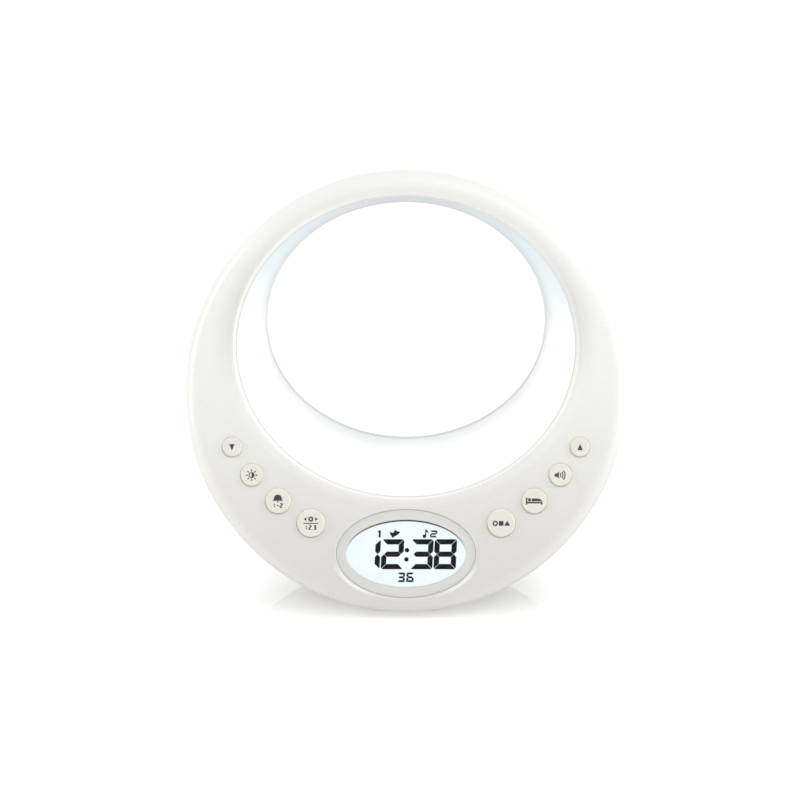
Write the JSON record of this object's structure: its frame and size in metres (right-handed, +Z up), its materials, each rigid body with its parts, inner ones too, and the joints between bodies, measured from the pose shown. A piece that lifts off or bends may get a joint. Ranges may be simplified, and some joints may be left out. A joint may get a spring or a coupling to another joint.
{
  "type": "sunrise alarm clock",
  "caption": "Sunrise alarm clock: a leaning ring of white plastic with a glowing funnel opening, an oval digital display and round keys below it.",
  "frame": {"origin": "on the floor under the middle of the body's width and depth", "axes": "+X to the right as seen by the user, +Y from the face to the back, +Z up"},
  "size_m": [0.2066, 0.0805, 0.206],
  "materials": {
    "shell": "satin pearl white",
    "key": "satin pearl white",
    "diffuser": "translucent milky, lit from behind",
    "reflector": "bright white",
    "circuit_board": "green solder mask on glass epoxy",
    "led": "white case with a warm phosphor",
    "bezel": "fine matt",
    "lens": "clear",
    "picture": "backlit liquid crystal, dark figures on pale blue white",
    "light_guide": "white",
    "contact_strip": "striped elastomer",
    "black_plastic": "black moulded",
    "capacitor": "sleeved can",
    "socket": "cream moulded",
    "screw_steel": "zinc plated",
    "basket_steel": "pressed and plated",
    "magnet": "dark ferrite with a steel core",
    "cone": "black paper",
    "cell": "printed sleeve with bright ends",
    "spring_steel": "nickel plated",
    "foot_rubber": "soft grey"
  },
  "bodies": {
    "housing": {"front_shell": "shell", "rear_shell": "shell", "light_diffuser": "diffuser", "light_reflector": "reflector", "led_board": "circuit_board", "led_chips": "led", "display_bezel": "bezel", "display_lens": "lens", "display_glass": "picture", "display_light_guide": "light_guide", "display_frame": "light_guide", "display_contact_strip": "contact_strip", "main_board": "circuit_board", "board_screws": "screw_steel", "key_switches": "black_plastic", "controller_chips": "black_plastic", "capacitors": "capacitor", "wire_sockets": "socket", "speaker_frame": "basket_steel", "speaker_cone": "cone", "speaker_magnet": "magnet", "speaker_clamp": "shell", "speaker_screws": "screw_steel", "power_jack": "black_plastic", "battery_cells": "cell", "battery_springs": "spring_steel", "battery_contacts": "spring_steel", "case_screws": "screw_steel", "feet": "foot_rubber"},
    "down_key": {"key_down": "key", "plunger_down": "black_plastic"},
    "light_key": {"key_light": "key", "plunger_light": "black_plastic"},
    "alarm_key": {"key_alarm": "key", "plunger_alarm": "black_plastic"},
    "set_key": {"key_set": "key", "plunger_set": "black_plastic"},
    "mode_key": {"key_mode": "key", "plunger_mode": "black_plastic"},
    "sleep_key": {"key_sleep": "key", "plunger_sleep": "black_plastic"},
    "volume_key": {"key_volume": "key", "plunger_volume": "black_plastic"},
    "up_key": {"key_up": "key", "plunger_up": "black_plastic"},
    "door": {"battery_door": "shell"}
  },
  "joints": [
    {"name": "down_key_press", "type": "slide", "parent": "housing", "child": "down_key", "axis": [0, 0.9848, -0.1736], "range_m": [0, 0.0006], "stiffness_N_per_m": 400, "springref_m": -0.002},
    {"name": "light_key_press", "type": "slide", "parent": "housing", "child": "light_key", "axis": [0, 0.9848, -0.1736], "range_m": [0, 0.0006], "stiffness_N_per_m": 400, "springref_m": -0.002},
    {"name": "alarm_key_press", "type": "slide", "parent": "housing", "child": "alarm_key", "axis": [0, 0.9848, -0.1736], "range_m": [0, 0.0006], "stiffness_N_per_m": 400, "springref_m": -0.002},
    {"name": "set_key_press", "type": "slide", "parent": "housing", "child": "set_key", "axis": [0, 0.9848, -0.1736], "range_m": [0, 0.0006], "stiffness_N_per_m": 400, "springref_m": -0.002},
    {"name": "mode_key_press", "type": "slide", "parent": "housing", "child": "mode_key", "axis": [0, 0.9848, -0.1736], "range_m": [0, 0.0006], "stiffness_N_per_m": 400, "springref_m": -0.002},
    {"name": "sleep_key_press", "type": "slide", "parent": "housing", "child": "sleep_key", "axis": [0, 0.9848, -0.1736], "range_m": [0, 0.0006], "stiffness_N_per_m": 400, "springref_m": -0.002},
    {"name": "volume_key_press", "type": "slide", "parent": "housing", "child": "volume_key", "axis": [0, 0.9848, -0.1736], "range_m": [0, 0.0006], "stiffness_N_per_m": 400, "springref_m": -0.002},
    {"name": "up_key_press", "type": "slide", "parent": "housing", "child": "up_key", "axis": [0, 0.9848, -0.1736], "range_m": [0, 0.0006], "stiffness_N_per_m": 400, "springref_m": -0.002},
    {"name": "battery_door_hinge", "type": "hinge", "parent": "housing", "child": "door", "pos_m": [0, 0.03866, 0.00914], "axis": [-1, 0, 0], "range_deg": [0, 40]}
  ]
}
